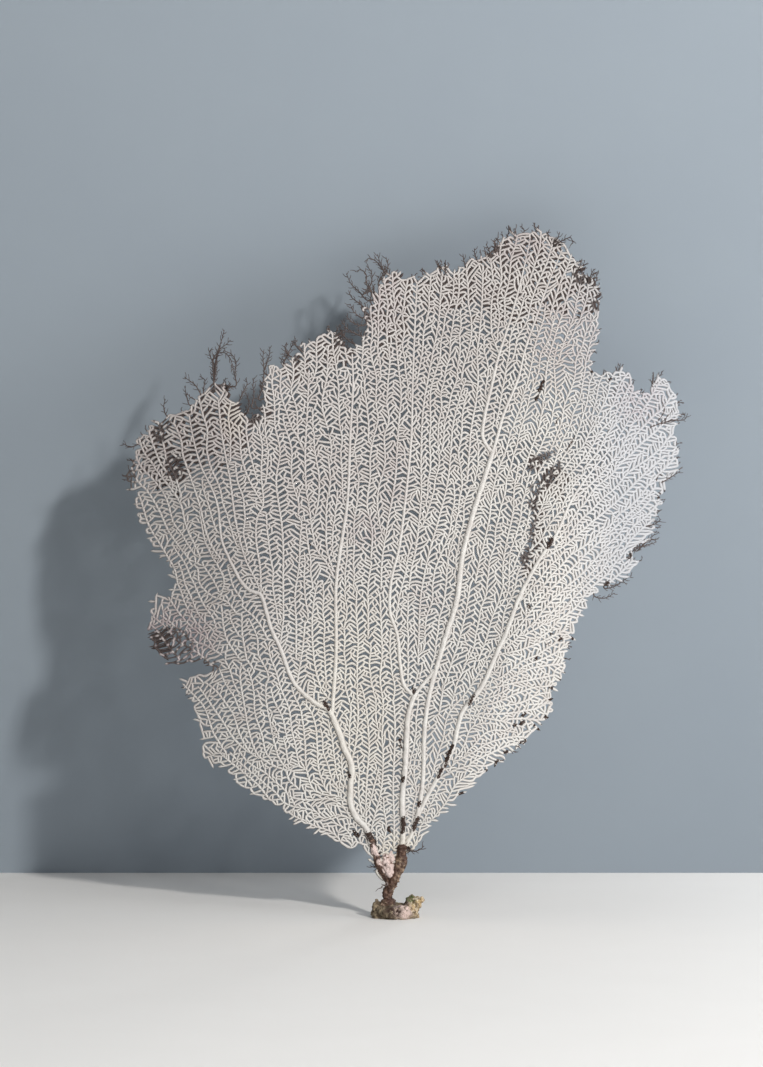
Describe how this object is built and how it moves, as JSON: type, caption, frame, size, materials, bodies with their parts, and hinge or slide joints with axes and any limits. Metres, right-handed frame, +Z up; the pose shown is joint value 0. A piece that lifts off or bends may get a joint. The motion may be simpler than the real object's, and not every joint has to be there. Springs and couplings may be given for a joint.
{
  "type": "dried sea fan on reef rock",
  "caption": "Dried white sea fan with branching ribs and a fine net, standing upright on the small piece of reef rock it grew on.",
  "frame": {"origin": "on the flat cut underside of the rock, below the foot of the stem", "axes": "+Z up along the fan, +X to the right and +Y away from a viewer in front of its face"},
  "size_m": [0.3647, 0.0589, 0.4497],
  "materials": {
    "reef_rock": "matte, pitted",
    "bare_horn": "satin",
    "chalky_rind": "matte, granular",
    "net": "matte, granular"
  },
  "bodies": {
    "root": {"reef_rock": "reef_rock", "holdfast": "bare_horn", "trunk": "bare_horn", "trunk_fork_left": "bare_horn", "trunk_fork_right": "bare_horn", "rib_left_stem": "chalky_rind", "rib_left_outer": "chalky_rind", "rib_left_inner": "chalky_rind", "rib_centre_stem": "chalky_rind", "rib_centre_left": "chalky_rind", "rib_centre_link": "chalky_rind", "rib_main_stem": "chalky_rind", "rib_main_left": "chalky_rind", "rib_main_right": "chalky_rind", "rib_right": "chalky_rind", "web_outer_left": "net", "web_left": "net", "web_centre_left": "net", "web_centre": "net", "web_stem": "net", "web_crown": "net", "web_centre_right": "net", "web_right": "net"}
  },
  "joints": []
}
